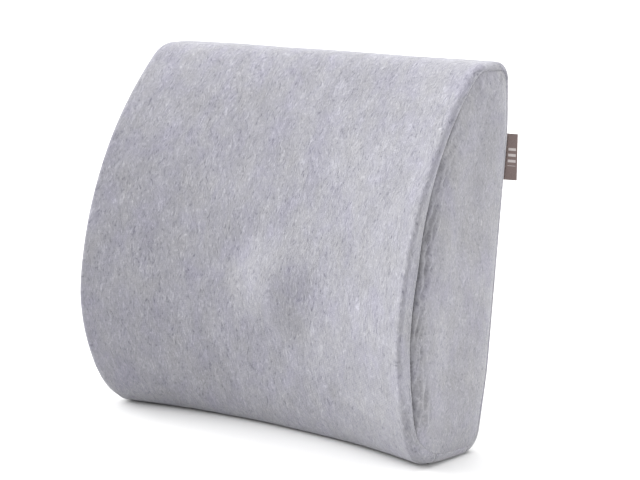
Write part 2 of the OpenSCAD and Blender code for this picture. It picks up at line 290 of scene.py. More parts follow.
def side_relief(q, side):
    """How far the side panel stands out (+) or in (-) at the points q, and the painted shade that darkens its base
    colour there.
    """
    a0, b0 = Q0, np.roll(Q0, -1, 0)
    ab = b0 - a0
    L2 = np.maximum((ab ** 2).sum(1), 1e-12)
    dn, sn, fw, lb, vy, vw, painted_sw = [np.zeros(len(q)) for _ in range(7)]
    for n_, pt in enumerate(q):
        t = np.clip(((pt - a0) * ab).sum(1) / L2, 0, 1)
        d2 = ((a0 + ab * t[:, None] - pt) ** 2).sum(1)
        k = int(np.argmin(d2))
        k2 = (k + 1) % N
        dn[n_] = math.sqrt(d2[k])
        f = t[k]
        sn[n_] = S[k] + f * step[k]
        fw[n_] = FRONT_W[k] * (1 - f) + FRONT_W[k2] * f
        lb[n_] = LIPB[k] * (1 - f) + LIPB[k2] * f
        painted_sw[n_] = PAINTED_SHADE_W[k] * (1 - f) + PAINTED_SHADE_W[k2] * f
        vy[n_] = VALLEY[k] * (1 - f) + VALLEY[k2] * f
        vw[n_] = VAL_W[k] * (1 - f) + VAL_W[k2] * f
    a = -vy * np.exp(-(dn / vw) ** 2)
    a = a - fw * 2.0 * np.exp(-(dn / 8.5) ** 1.3) + fw * 1.1 * np.exp(-dn / 2.0)
    a = a + lb * np.exp(-(dn / 34.0) ** 2)
    a = a + 0.9 * (1 - np.exp(-dn / 6.0)) + 1.6 * (1 - np.exp(-(dn / 42.0) ** 2))
    # gathers, lying nearly along the seam and dying out over the panel
    env = np.where(dn > 0, np.exp(-((dn - 6.2) / 6.4) ** 2), 0) + 0.18 * np.exp(-(dn / 16.0) ** 2) * np.clip(dn / 4, 0, 1)
    pk = np.array([nz(ss * 0.040 + side * 9, gg * 0.20 - ss * 0.018, 7.7) + 0.8 * nz(ss * 0.10, gg * 0.33 + side - ss * 0.03, 1.3)
                   for ss, gg in zip(sn, dn)])
    a = a + (0.22 + 3.0 * fw) * env * pk
    a = a + 0.7 * np.array([nz(u * 0.016, v * 0.012 + side * 3, 2.2) for u, v in q]) * np.clip(dn / 20, 0, 1)
    # painted shade: darker where the gathers dip, near the seam, and in a thin line at the seam
    painted_shade = 1 - painted_sw * (0.19 * np.exp(-(dn / 10.5) ** 1.7) + 0.36 * env * np.clip(0.12 - pk, 0, 0.6)) - 0.34 * (0.35 * fw + 0.65 * painted_sw) * np.exp(-(dn / 1.5) ** 2)
    # painted shade: the upper part of the side panel is made up to 10% darker, standing in for the weaker light there
    painted_shade = painted_shade - 0.10 * np.clip((q[:, 1] - 135) / 110, 0, 1)
    return a, painted_shade


left = edge_cols(-1)
right = edge_cols(1)
for c in reversed(left):
    cols.append(c)
for j in range(NJ + 1):
    s = -1 + 2 * j / NJ
    x, q = sheet_col(s)
    cols.append((x, q, x, S, None))
for c in right:
    cols.append(c)
NC = len(cols)
NE = NF + NB + NS
J_SEAM_R = NE + NJ + NF + NB          # column of the right seam
J_SEAM_L = NE - NF - NB

# painted shade for every point of the surface grid, which multiplies the base colour
PAINTED_SHADE_GRID = np.ones((NC, N))
for (sd, k), val in SEAM_PAINTED_SHADE.items():
    PAINTED_SHADE_GRID[NE + NJ + NF + k if sd > 0 else NE - NF - k] = val
V = np.zeros((NC, N, 3))
KN = np.zeros((NC, N, 3))
for j, c in enumerate(cols):
    V[j, :, 0] = c[0]
    V[j, :, 1] = c[1][:, 0] + Y0
    V[j, :, 2] = c[1][:, 1]
    KN[j, :, 0] = c[2]
    KN[j, :, 1] = c[3]
V[:, :, 2] = np.maximum(V[:, :, 2], 0.0)
V *= MM
KN *= MM


def region(j, i):
    """Which piece the quad between columns j, j+1 and rows i, i+1 belongs to."""
    if j >= J_SEAM_R:
        return "side_right"
    if j + 1 <= J_SEAM_L:
        return "side_left"
    r = REG[i]
    if r in ("zip_upper", "zip_lower"):
        xm = abs(V[j, i, 0] + V[j + 1, i, 0]) / 2 * 1000
        if xm < ZIP_LEN / 2 + 2:
            return None
        return "back_upper" if r == "zip_upper" else "back_lower"
    return r


def make_mesh(name, verts, faces, knit=None, smooth=True, painted_shade=None):
    me = bpy.data.meshes.new(name)
    me.from_pydata([tuple(v) for v in verts], [], [tuple(f) for f in faces])
    me.update()
    if knit is not None:
        a = me.attributes.new("knit", "FLOAT_VECTOR", "POINT")
        a.data.foreach_set("vector", np.asarray(knit, np.float32).ravel())
    # the painted shade goes in a point attribute that the knit materials multiply into the base colour
    if painted_shade is not None:
        a = me.attributes.new("fold_painted_shade", "FLOAT", "POINT")
        a.data.foreach_set("value", np.asarray(painted_shade, np.float32).ravel())
    if smooth:
        me.polygons.foreach_set("use_smooth", [True] * len(me.polygons))
    o = bpy.data.objects.new(name, me)
    bpy.context.scene.collection.objects.link(o)
    return o


groups = {}
for j in range(NC - 1):
    for i in range(N):
        r = region(j, i)
        if r is None:
            continue
        i2 = (i + 1) % N
        groups.setdefault(r, []).append((j * N + i, (j + 1) * N + i, (j + 1) * N + i2, j * N + i2))

VF, KF, PAINTED_SHADE_FLAT = V.reshape(-1, 3), KN.reshape(-1, 3), PAINTED_SHADE_GRID.reshape(-1)


def piece(name, region_name):
    f = np.array(groups[region_name])
    used, inv = np.unique(f, return_inverse=True)
    inv = inv.reshape(f.shape)
    return make_mesh(name, VF[used], inv, KF[used], painted_shade=PAINTED_SHADE_FLAT[used])


def side_piece(name, region_name, side):
    """A side panel: the rings behind the seam, and an even grid inside the last ring."""
    f = np.array(groups[region_name])
    used, inv = np.unique(f, return_inverse=True)
    inv = inv.reshape(f.shape)
    verts, knit, painted_shade, faces = list(VF[used]), list(KF[used]), list(PAINTED_SHADE_FLAT[used]), [tuple(x) for x in inv]
    where = {int(u): n_ for n_, u in enumerate(used)}
    j = NC - 1 if side > 0 else 0
    ring = [j * N + i for i in range(N)]
    r2 = np.array([(V[j, i, 1] * 1000 - Y0, V[j, i, 2] * 1000) for i in range(N)])
    r2 = np.round(r2, 4)
    pts = [tuple(x) for x in r2]
    nxt = np.roll(r2, -1, 0)
    for y in np.arange(-110, 40, 3.6):
        for z in np.arange(20, 310, 3.6):
            ab = nxt - r2
            t = np.clip((((y, z) - r2) * ab).sum(1) / np.maximum((ab ** 2).sum(1), 1e-9), 0, 1)
            d = np.sqrt(((r2 + ab * t[:, None] - (y, z)) ** 2).sum(1).min())
            if d < 1.6:
                continue
            c = ((r2[:, 1] > z) != (nxt[:, 1] > z)) & (y < (nxt[:, 0] - r2[:, 0]) * (z - r2[:, 1]) / np.where(nxt[:, 1] == r2[:, 1], 1e-9, nxt[:, 1] - r2[:, 1]) + r2[:, 0])
            if c.sum() % 2:
                pts.append((y, z))
    out = delaunay_2d_cdt([Vector(x) for x in pts], [(i, (i + 1) % N) for i in range(N)], [], 1, 1e-5)
    co, _, tri, orig = out[0], out[1], out[2], out[3]
    q = np.array([(c.x, c.y) for c in co])
    rel, painted_shd = side_relief(q, side)
    idx = []
    for n_, o_ in enumerate(orig):
        hit = [k for k in o_ if k < N]
        if hit:
            idx.append(where[ring[hit[0]]])
        else:
            idx.append(len(verts))
            verts.append(np.array([side * (HW + rel[n_]), q[n_, 0] + Y0, q[n_, 1]]) * MM)
            knit.append(np.array([q[n_, 0], q[n_, 1], 0]) * MM)
            painted_shade.append(painted_shd[n_])
    for t3 in tri:
        g3 = [idx[k] for k in t3]
        if len(set(g3)) == 3:
            faces.append(tuple(g3 if side < 0 else g3[::-1]))
    o = make_mesh(name, verts, faces, knit, painted_shade=painted_shade)
    bm = bmesh.new()
    bm.from_mesh(o.data)
    bmesh.ops.remove_doubles(bm, verts=bm.verts, dist=1e-6)
    bmesh.ops.recalc_face_normals(bm, faces=bm.faces)
    bm.to_mesh(o.data)
    bm.free()
    o.data.polygons.foreach_set("use_smooth", [True] * len(o.data.polygons))
    return o


def solidify(o, t):
    md = o.modifiers.new("thickness", "SOLIDIFY")
    md.thickness = t
    md.offset = -1
    md.use_even_offset = False
    md.use_rim = True
    return o


front_cover = piece("front_cover", "front")
back_upper = piece("back_cover_upper", "back_upper")
back_lower = piece("back_cover_lower", "back_lower")
base_cover = piece("base_cover", "base")
side_right = side_piece("side_cover_right", "side_right", 1)
side_left = side_piece("side_cover_left", "side_left", -1)


def outward(o, probe=(0, 0.0, 0.15)):
    """Makes the open sheet's faces look away from the cushion's middle."""
    c = Vector(probe)
    s = sum((p.center - c).dot(p.normal) * p.area for p in o.data.polygons)
    if s < 0:
        o.data.flip_normals()


SIM_K = 10.0           # the panel is simulated ten times its size, where the solver is steadier


def settle(o, frames=16):
    """Lets a side panel find its own gathers: more cloth than room along the front seam, sewn down all round."""
    me = o.data
    n_ = len(me.vertices)
    rest = np.empty(n_ * 3)
    me.vertices.foreach_get("co", rest)
    rest = rest.reshape(-1, 3)
    fold_painted_shade = np.array([a_.value for a_ in me.attributes["fold_painted_shade"].data])
    use = np.zeros(len(me.edges), int)
    cnt = {}
    for p_ in me.polygons:
        for e_ in p_.edge_keys:
            cnt[e_] = cnt.get(e_, 0) + 1
    rim = sorted({v_ for e_, c_ in cnt.items() if c_ == 1 for v_ in e_})
    # how far each vertex is from the seam, and how gathered the seam is there
    q = np.stack([rest[:, 1] / MM - Y0, rest[:, 2] / MM], 1)
    dn = np.empty(n_)
    fw = np.empty(n_)
    for k in range(n_):
        d2 = ((Q0 - q[k]) ** 2).sum(1)
        i_ = int(np.argmin(d2))
        dn[k], fw[k] = math.sqrt(d2[i_]), FRONT_W[i_]
    me.vertices.foreach_set("co", (rest * SIM_K).ravel())
    me.update()
    pin = o.vertex_groups.new(name="pin")
    pin.add([int(v_) for v_ in rim], 1.0, "REPLACE")
    far = 0.25 * (1 - np.exp(-(dn / 30.0) ** 2))
    for k in range(n_):
        if far[k] > 0.02 and k not in rim:
            pin.add([k], float(far[k]), "REPLACE")
    gat = o.vertex_groups.new(name="gather")
    wg = fw * np.exp(-(dn / 14.0) ** 1.5) + 0.10
    for k in range(n_):
        gat.add([k], float(min(1.0, wg[k])), "REPLACE")
    md = o.modifiers.new("cloth", "CLOTH")
    c = md.settings
    c.quality = 6
    c.mass = 0.2
    c.tension_stiffness = 12
    c.compression_stiffness = 12
    c.shear_stiffness = 4
    c.bending_stiffness = 0.25
    c.air_damping = 1.0
    c.vertex_group_mass = "pin"
    c.vertex_group_shrink = "gather"
    c.shrink_min = 0.0
    c.shrink_max = -0.15
    c.use_pressure = True
    c.uniform_pressure_force = 0.6
    c.effector_weights.gravity = 0.0
    md.collision_settings.use_collision = False
    md.collision_settings.use_self_collision = False
    md.point_cache.frame_start, md.point_cache.frame_end = 1, frames
    sc = bpy.context.scene
    for f_ in range(1, frames + 1):
        sc.frame_set(f_)
    ev = o.evaluated_get(bpy.context.evaluated_depsgraph_get())
    got = np.empty(n_ * 3)
    ev.data.vertices.foreach_get("co", got)
    got = got.reshape(-1, 3) / SIM_K
    o.modifiers.remove(md)
    o.vertex_groups.clear()
    move = got - rest
    size = np.linalg.norm(move, axis=1)
    cap = 0.0034
    move *= (cap * np.tanh(size / cap) / np.maximum(size, 1e-9))[:, None]
    move[rim] = 0
    me.vertices.foreach_set("co", (rest + move).ravel())
    me.update()
    sc.frame_set(1)
    return size


for o in (side_right, side_left):
    outward(o)
    sz = settle(o)
    print("settled", o.name, len(o.data.vertices), "largest move mm", round(float(sz.max()) * 1000, 2), "mean", round(float(sz.mean()) * 1000, 3))

for o in (front_cover, back_upper, back_lower, base_cover, side_right, side_left):
    outward(o)
    solidify(o, 0.0014)


def inner(name, gap, gap_x, gap_back):
    """A closed form under the cover, with its edges eased."""
    keep = sorted(set(list(range(0, N, 4)) + [i_top0, i_top1]))
    off = np.where(is_front, gap, gap_back)
    xs = np.linspace(-1, 1, 41)
    verts, kn = [], []
    for s_ in xs:
        ease = 5.0 * max(0.0, (abs(s_) - 0.95) / 0.05) ** 2
        x = s_ * (HW - gap_x)
        q = P - OUT * (off + ease)[:, None]
        q[:, 0] += WG * (1 - (x / HW) ** 2) - np.where(is_front, bump(x, P[:, 1]), 0)
        for k in keep:
            verts.append((x * MM, (q[k, 0] + Y0) * MM, max(q[k, 1], gap) * MM))
            kn.append((x * MM, S[k] * MM, 0))
    n = len(keep)
    faces = []
    for a_ in range(len(xs) - 1):
        for b_ in range(n):
            b2 = (b_ + 1) % n
            faces.append((a_ * n + b_, (a_ + 1) * n + b_, (a_ + 1) * n + b2, a_ * n + b2))
    faces.append(tuple(range(n)))
    faces.append(tuple((len(xs) - 1) * n + k for k in reversed(range(n))))
    o = make_mesh(name, verts, faces, kn)
    bm = bmesh.new()
    bm.from_mesh(o.data)
    bmesh.ops.triangulate(bm, faces=[f for f in bm.faces if len(f.verts) > 4])
    bmesh.ops.recalc_face_normals(bm, faces=bm.faces)
    bm.to_mesh(o.data)
    bm.free()
    return o


foam = inner("foam_body", 4.6, 8.6, 5.2)
sleeve = inner("inner_sleeve", 3.0, 7.2, 3.8)


# ---------------------------------------------------------------------------
# Seams, stitches, zip and label
# ---------------------------------------------------------------------------
def tangents(path, closed):
    if closed:
        t = np.roll(path, -1, 0) - np.roll(path, 1, 0)
    else:
        t = np.gradient(path, axis=0)
    return t / np.maximum(np.linalg.norm(t, axis=1), 1e-12)[:, None]


def tube(path, nrm, r, sides=8, closed=True, flat=1.0):
    """Verts and faces of a cord along path. nrm points out of the surface it lies on."""
    t = tangents(path, closed)
    b = np.cross(t, nrm)
    b /= np.maximum(np.linalg.norm(b, axis=1), 1e-12)[:, None]
    n_ = np.cross(b, t)
    verts = []
    for k in range(len(path)):
        for a_ in range(sides):
            w = 2 * math.pi * a_ / sides
            verts.append(path[k] + r * (math.cos(w) * b[k] + flat * math.sin(w) * n_[k]))
    faces = []
    m_ = len(path)
    for k in range(m_ if closed else m_ - 1):
        k2 = (k + 1) % m_
        for a_ in range(sides):
            a2 = (a_ + 1) % sides
            faces.append((k * sides + a_, k * sides + a2, k2 * sides + a2, k2 * sides + a_))
    if not closed:
        faces.append(tuple(range(sides))[::-1])
        faces.append(tuple((m_ - 1) * sides + a_ for a_ in range(sides)))
    return verts, faces


def stitches(path, nrm, pitch, length, r, lift, closed=False, skew=0.0):
    """A row of thread stitches: short rounded floats that dive at both ends. Metres."""
    pth = np.vstack([path, path[:1]]) if closed else path
    nn = np.vstack([nrm, nrm[:1]]) if closed else nrm
    seg = np.linalg.norm(np.diff(pth, axis=0), axis=1)
    s_ = np.concatenate([[0], np.cumsum(seg)])
    count = int(s_[-1] / pitch)
    verts, faces = [], []

    def at(u, a_):
        return np.array([np.interp(u, s_, a_[:, c]) for c in range(3)])

    for k in range(count):
        c0 = (k + 0.5) * s_[-1] / count
        c = at(c0, pth)
        t = at(min(c0 + length / 2, s_[-1]), pth) - at(max(c0 - length / 2, 0), pth)
        t /= max(np.linalg.norm(t), 1e-9)
        n_ = at(c0, nn)
        n_ = n_ - t * n_.dot(t)
        n_ /= max(np.linalg.norm(n_), 1e-9)
        b = np.cross(t, n_)
        t = t + b * skew
        t /= np.linalg.norm(t)
        b = np.cross(t, n_)
        base = len(verts)
        for u, w, h in ((-1, 0.45, -0.7), (-0.72, 0.85, 0.25), (-0.3, 1.0, 0.9), (0.3, 1.0, 0.9), (0.72, 0.85, 0.25), (1, 0.45, -0.7)):
            for a_ in range(6):
                v_ = 2 * math.pi * a_ / 6
                verts.append(c + t * u * length / 2 + n_ * (lift * h) + r * w * (math.cos(v_) * b + math.sin(v_) * n_))
        for q_ in range(5):
            for a_ in range(6):
                a2 = (a_ + 1) % 6
                faces.append((base + q_ * 6 + a_, base + q_ * 6 + a2, base + (q_ + 1) * 6 + a2, base + (q_ + 1) * 6 + a_))
        faces.append(tuple(base + a_ for a_ in range(6))[::-1])
        faces.append(tuple(base + 30 + a_ for a_ in range(6)))
    return verts, faces


def merge(parts):
    verts, faces = [], []
    for v_, f_ in parts:
        o_ = len(verts)
        verts += list(v_)
        faces += [tuple(k + o_ for k in q_) for q_ in f_]
    return verts, faces


def detail(name, parts):
    v_, f_ = merge(parts)
    o = make_mesh(name, v_, f_)
    bm = bmesh.new()
    bm.from_mesh(o.data)
    bmesh.ops.recalc_face_normals(bm, faces=bm.faces)
    bm.to_mesh(o.data)
    bm.free()
    return o


def out3(i_arr=None):
    o_ = np.zeros((N, 3))
    o_[:, 1], o_[:, 2] = OUT[:, 0], OUT[:, 1]
    return o_


seam_r_path = V[J_SEAM_R].copy()
seam_l_path = V[J_SEAM_L].copy()
nr = np.tile(np.array([1.0, 0, 0]), (N, 1))
pitch_ = 0.0034
side_seams = {}
for nm, pth, sg in (("side_seam_thread_right", seam_r_path, 1.0), ("side_seam_thread_left", seam_l_path, -1.0)):
    nn = nr * sg
    fw3 = FRONT_W[:, None]
    base_p = pth - nn * (0.0005 + 0.0008 * (1 - fw3))
    parts = [tube(base_p, nn, 0.00075, 8, True),
             stitches(pth + nn * (0.0003 - 0.0010 * (1 - fw3)), nn, pitch_, 0.0024, 0.00026, 0.00025, closed=True)]
    side_seams[nm] = detail(nm, parts)

js = list(range(NE - 1, NE + NJ + 2))
o3 = out3()


def cross_path(i0, js_=js):
    return np.array([V[j, i0] for j in js_]), np.array([o3[i0] for _ in js_])


cp, cn = cross_path(i_top1)
top_seam = detail("top_rear_seam_thread", [tube(cp - cn * 0.0006, cn, 0.00075, 8, False),
                                           stitches(cp + cn * 0.0001, cn, pitch_, 0.0024, 0.00026, 0.00025)])
cp, cn = cross_path(0)
cn = cn * 0 + np.array([0, -0.5, -0.3])
cn /= np.linalg.norm(cn, axis=1)[:, None]
cp[:, 2] = np.maximum(cp[:, 2], 0.0011)
foot_seam = detail("base_front_seam_thread", [tube(cp, cn, 0.0008, 8, False)])


def on_back(x, yb, zu):
    """Metres, from the back's own frame in mm: across, out of the back, up the slope."""
    x, yb, zu = np.broadcast_arrays(np.asarray(x, float), np.asarray(yb, float), np.asarray(zu, float))
    return np.stack([x, Y0 + zu * SN + yb * CS, zu * CS - yb * SN], -1) * MM


BACK_N = np.array([0, CS, -SN])
xs_z = np.linspace(-ZIP_LEN / 2 - 4, ZIP_LEN / 2 + 4, 120)
rows = []
for dz in (ZIP_GAP + 2.0, -ZIP_GAP - 2.0):
    pth = on_back(xs_z, 0.15, ZIP_UP + dz)
    rows.append(stitches(pth, np.tile(BACK_N, (len(pth), 1)), pitch_, 0.0025, 0.00028, 0.00022))
for xe in (-ZIP_LEN / 2 - 3.2, ZIP_LEN / 2 + 3.2):
    pth = on_back(xe, 0.15, np.linspace(ZIP_UP - ZIP_GAP - 2, ZIP_UP + ZIP_GAP + 2, 12))
    rows.append(stitches(pth, np.tile(BACK_N, (len(pth), 1)), 0.0024, 0.0022, 0.00028, 0.00022))
zip_stitches = detail("zip_stitching", rows)

# moulded coil of the zip, one row of loops on each tape
ROW_END = math.floor((ZIP_LEN - 16) / 5.0) * 5.0 / 2
COIL_P = 1.7


def coil(sgn, phase):
    parts = []
    n_ = int((2 * ROW_END - 0.8) / COIL_P)
    th = np.linspace(0, 2 * np.pi, 14, endpoint=False)
    for k in range(n_):
        x = -ROW_END + 0.5 + phase + k * COIL_P
        yb = 0.62 * np.sin(th)
        zz = 1.45 + 1.15 * np.sign(np.cos(th)) * np.abs(np.cos(th)) ** 0.8
        pth = on_back(x + 0.28 * np.cos(th + 0.8), yb, ZIP_UP + sgn * zz)
        nn = np.tile(np.array([1.0, 0, 0]), (len(th), 1))
        parts.append(tube(pth, nn, 0.00030, 5, True))
    # the cord that the loops are sewn round
    xs_ = np.linspace(-ROW_END + 0.3, ROW_END - 0.3, 90)
    pth = on_back(xs_, 0.0, ZIP_UP + sgn * 1.9)
    parts.append(tube(pth, np.tile(BACK_N, (len(pth), 1)), 0.00042, 6, False))
    # and the thread that holds them on the tape
    pth = on_back(xs_, 0.66, ZIP_UP + sgn * 2.1)
    parts.append(stitches(pth, np.tile(BACK_N, (len(pth), 1)), 0.0017, 0.0013, 0.00016, 0.0001))
    return parts


coil_up = detail("zip_coil_upper", coil(1, 0.0))
coil_lo = detail("zip_coil_lower", coil(-1, COIL_P / 2))

# folded side label
LB_LO, LB_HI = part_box("label")
LB_U, LB_H, LB_OUT = 225.0, 38.0, 10.0
dl = np.array([0.77, 0.64])
nl = np.array([0.64, -0.77])                      # towards the sitter's side
pth2 = [(-1.4, -0.5), (-0.4, -0.1), (0.6, 0.1)]
for u in np.linspace(1.2, LB_OUT - 0.6, 14):
    pth2.append(tuple(dl * u + nl * 0.25 * math.sin(math.pi * u / LB_OUT)))
tip = dl * (LB_OUT - 0.5) - nl * 0.45
for a_ in np.linspace(80, -80, 9):
    w = math.radians(a_)
    pth2.append(tuple(tip + dl * 0.5 * math.cos(w) + nl * 0.45 * math.sin(w)))
for u in np.linspace(LB_OUT - 0.6, 1.0, 14):
    pth2.append(tuple(dl * u - nl * (0.9 + 0.25 * math.sin(math.pi * u / LB_OUT))))
pth2 += [(0.2, 1.0), (-0.8, 1.0)]
pth2 = np.array(pth2)
acc = np.concatenate([[0], np.cumsum(np.hypot(*np.diff(pth2, axis=0).T))])
LZ = np.linspace(0, LB_H, 26)
lv, lk, lf = [], [], []
for iz, z in enumerate(LZ):
    for k, (a_, b_) in enumerate(pth2):
        curl = 0.35 * (acc[k] / acc[-1]) * math.sin(2 * math.pi * z / LB_H * 0.8 + 0.6)
        out_ = 1.0 + 0.22 * (1 - z / LB_H) * min(1.0, max(0.0, a_ / 4.0))      # hangs a touch wider at its foot
        lv.append(on_back(HW + a_ * out_, b_ * out_ + curl * 0.6, LB_U + z))
        lk.append((acc[k] * MM, z * MM, 0))
for iz in range(len(LZ) - 1):
    for k in range(len(pth2) - 1):
        n_ = len(pth2)
        lf.append((iz * n_ + k, iz * n_ + k + 1, (iz + 1) * n_ + k + 1, (iz + 1) * n_ + k))
label_piece = make_mesh("side_label_loop", lv, lf, lk)
solidify(label_piece, 0.00035).modifiers["thickness"].offset = 0
rows = []
zz = np.linspace(LB_U + 1.5, LB_U + LB_H - 1.5, 30)
pth = on_back(HW + 1.9, 1.05, zz)
rows.append(stitches(pth, np.tile(np.array([0.64, -0.77, 0.0]), (len(pth), 1)), 0.0030, 0.0021, 0.00022, 0.00018))
label_thread = detail("label_stitch_row", rows)

# ---------------------------------------------------------------------------
# Materials
# ---------------------------------------------------------------------------
def new_mat(name):
    mat = bpy.data.materials.new(name)
    mat.use_nodes = True
    nt = mat.node_tree
    for n in list(nt.nodes):
        if n.type != "OUTPUT_MATERIAL":
            nt.nodes.remove(n)
    out = next(n for n in nt.nodes if n.type == "OUTPUT_MATERIAL")
    b = nt.nodes.new("ShaderNodeBsdfPrincipled")
    nt.links.new(b.outputs["BSDF"], out.inputs["Surface"])
    return mat, nt, b


def node(nt, kind, **kw):
    n = nt.nodes.new(kind)
    for k, v in kw.items():
        setattr(n, k, v)
    return n


def noise_node(nt, vec, scale3, detail=2.0, rough=0.5, dist=0.0, loc=(0, 0, 0)):
    mp = node(nt, "ShaderNodeMapping")
    mp.inputs["Scale"].default_value = scale3
    mp.inputs["Location"].default_value = loc
    nt.links.new(vec, mp.inputs["Vector"])
    n = node(nt, "ShaderNodeTexNoise")
    n.inputs["Scale"].default_value = 1.0
    n.inputs["Detail"].default_value = detail
    n.inputs["Roughness"].default_value = rough
    n.inputs["Distortion"].default_value = dist
    nt.links.new(mp.outputs[0], n.inputs["Vector"])
    return n.outputs["Fac"]


def mixf(nt, op, a, b, clamp=False):
    n = node(nt, "ShaderNodeMath", operation=op)
    n.use_clamp = clamp
    for k, v in enumerate((a, b)):
        if isinstance(v, (int, float)):
            n.inputs[k].default_value = v
        else:
            nt.links.new(v, n.inputs[k])
    return n.outputs[0]


def ramp(nt, fac, stops, interp="LINEAR"):
    n = node(nt, "ShaderNodeValToRGB")
    n.color_ramp.interpolation = interp
    e = n.color_ramp.elements
    while len(e) > 1:
        e.remove(e[-1])
    e[0].position, e[0].color = stops[0][0], stops[0][1]
    for p, c in stops[1:]:
        k = e.new(p)
        k.color = c
    nt.links.new(fac, n.inputs[0])
    return n.outputs[0]


def knit_material(name, base=(0.246, 0.244, 0.270), contrast=1.0, seed=0.0, streak=(330, 120, 760, 300), relief_amt=1.0):
    mat, nt, b = new_mat(name)
    at = node(nt, "ShaderNodeAttribute", attribute_name="knit")
    vec = at.outputs["Vector"]
    L = (seed, seed * 1.7, seed * 0.3)
    # a slow wander so the wales aren't ruled
    wob = noise_node(nt, vec, (70, 45, 1), 2.0, 0.5, 0, L)
    comb = node(nt, "ShaderNodeCombineXYZ")
    sub = mixf(nt, "SUBTRACT", wob, 0.5)
    nt.links.new(mixf(nt, "MULTIPLY", sub, 0.0075), comb.inputs[0])
    add_ = node(nt, "ShaderNodeVectorMath", operation="ADD")
    nt.links.new(vec, add_.inputs[0])
    nt.links.new(comb.outputs[0], add_.inputs[1])
    v2 = add_.outputs[0]
    s1 = noise_node(nt, v2, (streak[0], streak[1], 1), 3.0, 0.66, 1.2, L)        # streaks of dark and light yarn
    s2 = noise_node(nt, v2, (streak[2], streak[3], 1), 2.0, 0.6, 0.2, (3 + seed, 1, 0))
    s3 = noise_node(nt, v2, (42, 24, 1), 4.0, 0.62, 0.4, (9 + seed, 4, 0))  # mottling
    st = mixf(nt, "ADD", mixf(nt, "MULTIPLY", s1, 0.62), mixf(nt, "MULTIPLY", s2, 0.38))
    d, l_ = 1 - 0.34 * contrast, 1 + 0.30 * contrast
    col = ramp(nt, st, [(0.33, (base[0] * d * .97, base[1] * d * .97, base[2] * (d + .04), 1)),
                        (0.44, (base[0] * .93, base[1] * .93, base[2] * .94, 1)),
                        (0.54, (base[0] * 1.03, base[1] * 1.03, base[2] * 1.03, 1)),
                        (0.68, (base[0] * l_, base[1] * l_, base[2] * l_, 1))])
    mott = node(nt, "ShaderNodeMapRange")
    nt.links.new(s3, mott.inputs[0])
    mott.inputs[1].default_value, mott.inputs[2].default_value = 0.3, 0.7
    mott.inputs[3].default_value, mott.inputs[4].default_value = 0.905, 1.085
    # the two yarns don't mix evenly: cooler and warmer patches
    s4 = noise_node(nt, v2, (38, 24, 1), 3.0, 0.65, 0.3, (2 + seed, 8, 0))
    tint = ramp(nt, s4, [(0.34, (0.978, 0.968, 1.022, 1)), (0.5, (1, 1, 1, 1)), (0.66, (1.018, 1.016, 0.985, 1))])
    mtn = node(nt, "ShaderNodeMix", data_type="RGBA", blend_type="MULTIPLY")
    mtn.inputs["Factor"].default_value = 1.0
    nt.links.new(col, mtn.inputs[6])
    nt.links.new(tint, mtn.inputs[7])
    mul = node(nt, "ShaderNodeMix", data_type="RGBA", blend_type="MULTIPLY")
    mul.inputs["Factor"].default_value = 1.0
    nt.links.new(mtn.outputs[2], mul.inputs[6])
    nt.links.new(mott.outputs[0], mul.inputs[7])
    # painted shade: this attribute darkens the base colour along the side seams and toward the top of the side panels
    fold_painted_shade = node(nt, "ShaderNodeAttribute", attribute_name="fold_painted_shade")
    mul2 = node(nt, "ShaderNodeMix", data_type="RGBA", blend_type="MULTIPLY")
    mul2.inputs["Factor"].default_value = 1.0
    nt.links.new(mul.outputs[2], mul2.inputs[6])
    nt.links.new(fold_painted_shade.outputs["Fac"], mul2.inputs[7])
    nt.links.new(mul2.outputs[2], b.inputs["Base Color"])
    # relief: wale ribs plus the streaks
    sep = node(nt, "ShaderNodeSeparateXYZ")
    nt.links.new(v2, sep.inputs[0])
    rib = mixf(nt, "SINE", mixf(nt, "MULTIPLY", sep.outputs[0], 2 * math.pi / 0.0011), 0)
    loop_ = mixf(nt, "SINE", mixf(nt, "MULTIPLY", sep.outputs[1], 2 * math.pi / 0.0016), 0)
    relief_ = mixf(nt, "ADD", mixf(nt, "MULTIPLY", rib, 0.10), mixf(nt, "MULTIPLY", loop_, 0.05))
    relief_ = mixf(nt, "ADD", relief_, mixf(nt, "MULTIPLY", st, 1.6))
    bp = node(nt, "ShaderNodeBump")
    bp.inputs["Strength"].default_value = relief_amt
    bp.inputs["Distance"].default_value = 0.0007
    nt.links.new(relief_, bp.inputs["Height"])
    nt.links.new(bp.outputs[0], b.inputs["Normal"])
    b.inputs["Roughness"].default_value = 0.92
    b.inputs["Specular IOR Level"].default_value = 0.15
    b.inputs["Sheen Weight"].default_value = 0.40
    b.inputs["Sheen Roughness"].default_value = 0.42
    b.inputs["Sheen Tint"].default_value = (0.97, 0.97, 1.0, 1)
    return mat


